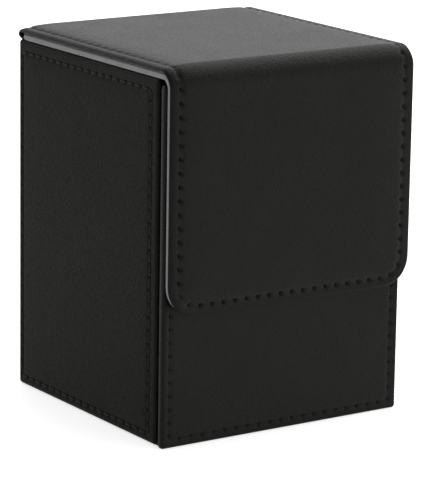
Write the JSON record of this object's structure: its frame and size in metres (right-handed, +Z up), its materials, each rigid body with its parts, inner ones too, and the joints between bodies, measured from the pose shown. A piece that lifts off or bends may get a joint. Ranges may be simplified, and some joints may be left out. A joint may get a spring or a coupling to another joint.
{
  "type": "card deck box",
  "caption": "Upright leather-covered box for a deck of sleeved trading cards, with a hinged lid and a magnetic front flap.",
  "frame": {"origin": "centre of the closed box's bounding box, at the height of its base", "axes": "+Z up, -Y out of the front where the flap hangs, +Y out of the back where the lid is hinged, +X to the right seen from the front"},
  "size_m": [0.0802, 0.0822, 0.1064],
  "materials": {
    "leather": "black synthetic leather with a fine grain and a soft sheen",
    "lining": "mid-grey brushed microfibre",
    "board": "uncoated grey board",
    "thread": "black sewing thread",
    "steel": "nickel-plated magnet and steel keeper discs"
  },
  "bodies": {
    "box": {"left_cover": "leather", "right_cover": "leather", "front_cover": "leather", "bottom_cover": "leather", "back_cover": "leather", "left_lining": "lining", "right_lining": "lining", "front_lining": "lining", "back_lining": "lining", "bottom_lining": "lining", "left_board": "board", "right_board": "board", "front_board": "board", "back_board": "board", "bottom_board": "board", "front_panel_board": "board", "left_thread": "thread", "right_thread": "thread", "front_thread": "thread", "back_thread": "thread", "keeper_left": "steel", "keeper_right": "steel"},
    "lid": {"lid_cover": "leather", "lid_lining": "lining", "lid_board": "board", "lid_thread_left": "thread", "lid_thread_right": "thread", "hinge_cover": "leather", "fold_cover": "leather", "fold_lining": "lining"},
    "flap": {"flap_cover": "leather", "flap_lining": "lining", "flap_board": "board", "flap_thread": "thread", "magnet_left": "steel", "magnet_right": "steel"}
  },
  "joints": [
    {"name": "lid_hinge", "type": "hinge", "parent": "box", "child": "lid", "pos_m": [0, 0.04005, 0.1054], "axis": [-1, 0, 0], "range_deg": [0, 180], "deforming": ["hinge_cover"]},
    {"name": "flap_hinge", "type": "hinge", "parent": "lid", "child": "flap", "pos_m": [0, -0.0393, 0.10465], "axis": [-1, 0, 0], "range_deg": [0, 90], "deforming": ["fold_cover", "fold_lining"]}
  ]
}
